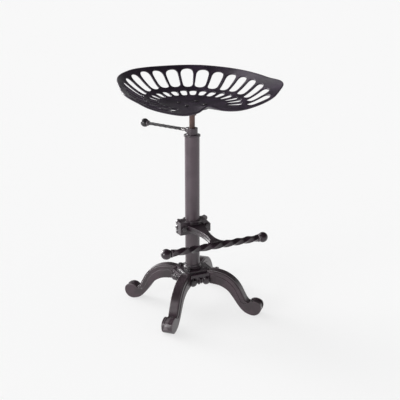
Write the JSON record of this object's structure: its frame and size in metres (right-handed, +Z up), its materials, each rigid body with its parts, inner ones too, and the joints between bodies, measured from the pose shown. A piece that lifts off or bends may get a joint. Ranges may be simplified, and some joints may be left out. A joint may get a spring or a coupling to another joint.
{
  "type": "tractor seat stool",
  "caption": "Swivelling cast tractor-seat stool with slotted bowl seat, clamped height-adjustable spindle, adjustable footrest and scrolled four-leg base.",
  "frame": {"origin": "on the floor, under the middle of the bounding box; the column's axis is 22.6 mm in front of it", "axes": "+Z up along the column, -Y towards the seat's front and the footrest, +X to the right when seen from the front"},
  "size_m": [0.466, 0.3726, 0.6869],
  "materials": {
    "cast_iron": "blackened, satin",
    "seat_iron": "black with a purple cast, satin",
    "dark_steel": "blackened",
    "bare_steel": "browned by light rust",
    "bright_steel": "bright",
    "brass": "plain"
  },
  "bodies": {
    "base": {"hub": "cast_iron", "leg_front_right": "cast_iron", "leg_back_right": "cast_iron", "leg_back_left": "cast_iron", "leg_front_left": "cast_iron", "leg_bolt_1": "dark_steel", "leg_bolt_2": "dark_steel", "leg_bolt_3": "dark_steel", "leg_bolt_4": "dark_steel", "column": "cast_iron", "column_foot_ring": "cast_iron", "column_cap": "dark_steel"},
    "spindle": {"spindle": "bare_steel", "thrust_washer": "brass", "spindle_guide": "brass", "spindle_guide_bolt": "dark_steel"},
    "seat": {"seat_pan": "seat_iron", "seat_mount": "cast_iron", "seat_retaining_screw": "dark_steel", "seat_screw_1": "dark_steel", "seat_screw_2": "dark_steel", "seat_screw_3": "dark_steel", "seat_screw_4": "dark_steel"},
    "clamp_pad": {"clamp_pad": "brass"},
    "lever": {"lever_screw": "bright_steel", "lever_rod": "dark_steel", "lever_ball": "dark_steel"},
    "footrest": {"footrest_arm": "cast_iron", "footrest_clamp": "cast_iron", "clamp_bolt_left": "dark_steel", "clamp_bolt_right": "dark_steel", "clamp_nut_left": "dark_steel", "clamp_nut_right": "dark_steel", "footrest_bar": "cast_iron", "footrest_ball_left": "cast_iron", "footrest_ball_right": "cast_iron"}
  },
  "joints": [
    {"name": "seat_height", "type": "slide", "parent": "base", "child": "spindle", "axis": [0, 0, 1], "range_m": [-0.032, 0.12]},
    {"name": "seat_swivel", "type": "hinge", "parent": "spindle", "child": "seat", "pos_m": [0, -0.0226, 0.59], "axis": [0, 0, 1], "continuous": true},
    {"name": "pad_advance", "type": "slide", "parent": "base", "child": "clamp_pad", "axis": [-0.4384, 0.8988, 0], "range_m": [0, 0.0015]},
    {"name": "lever_turn", "type": "hinge", "parent": "clamp_pad", "child": "lever", "pos_m": [0, -0.0226, 0.531], "axis": [-0.4384, 0.8988, 0], "range_deg": [0, 360]},
    {"name": "footrest_height", "type": "slide", "parent": "base", "child": "footrest", "axis": [0, 0, 1], "range_m": [-0.09, 0.2]}
  ],
  "couplings": [
    {"joint": "pad_advance", "follows": "lever_turn", "m_per_rad": 0.00023873}
  ]
}
